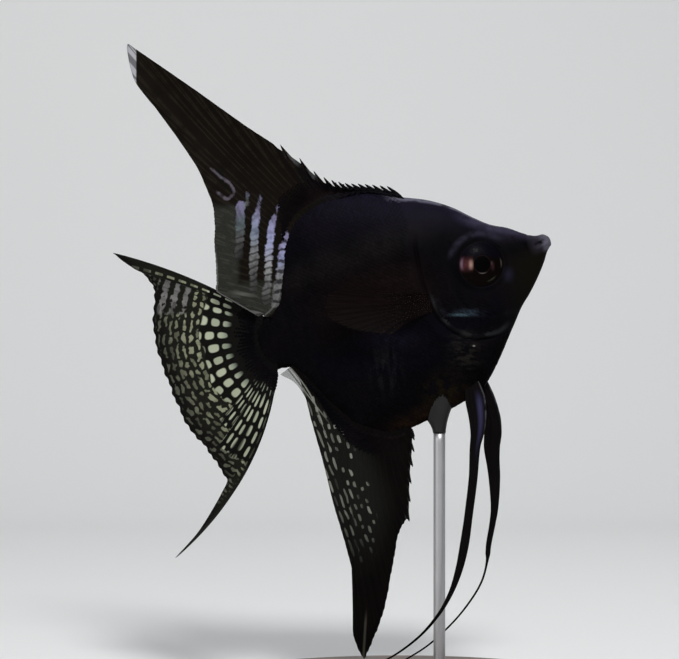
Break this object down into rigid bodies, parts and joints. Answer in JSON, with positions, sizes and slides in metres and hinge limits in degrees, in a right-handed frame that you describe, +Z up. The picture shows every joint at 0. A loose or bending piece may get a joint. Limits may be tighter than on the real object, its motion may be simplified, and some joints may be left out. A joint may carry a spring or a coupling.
{
  "type": "freshwater angelfish display model",
  "caption": "Life-size black-lace veil-finned angelfish, nose slightly up, held by one slim rod on an oval wooden base.",
  "frame": {"origin": "middle of the model's footprint, on the table under the base", "axes": "+X towards the snout, +Y to the fish's left, +Z up"},
  "size_m": [0.1218, 0.064, 0.1674],
  "materials": {
    "skin": "near-black scaled skin with a faint violet-grey sheen",
    "eye": "glossy, dark red-brown iris round a black pupil",
    "fin_dark": "brown-black fin membrane over fine rays",
    "fin_lace": "dark fin membrane with silvery spots between the rays",
    "fin_clear": "smoky, see-through fin membrane",
    "stand_wood": "satin dark walnut",
    "stand_steel": "satin steel"
  },
  "bodies": {
    "root": {"head": "skin", "lower_jaw": "skin", "gill_cover_left": "skin", "gill_cover_right": "skin", "trunk": "skin", "tail_stalk": "skin", "eye_left": "eye", "eye_right": "eye", "dorsal_fin_spines": "fin_dark", "dorsal_fin_sail": "fin_dark", "dorsal_fin_rear": "fin_lace", "anal_fin_spines": "fin_dark", "anal_fin_sail": "fin_dark", "anal_fin_rear": "fin_lace", "tail_fin_upper": "fin_lace", "tail_fin_lower": "fin_lace", "tail_fin_streamer": "fin_dark", "pectoral_fin_left": "fin_clear", "pectoral_fin_right": "fin_clear", "pelvic_fin_left": "fin_dark", "pelvic_fin_right": "fin_dark", "pelvic_thread_left": "fin_dark", "pelvic_thread_right": "fin_dark", "stand_base": "stand_wood", "stand_collar": "stand_steel", "stand_rod": "stand_steel", "stand_saddle": "stand_steel"}
  },
  "joints": []
}
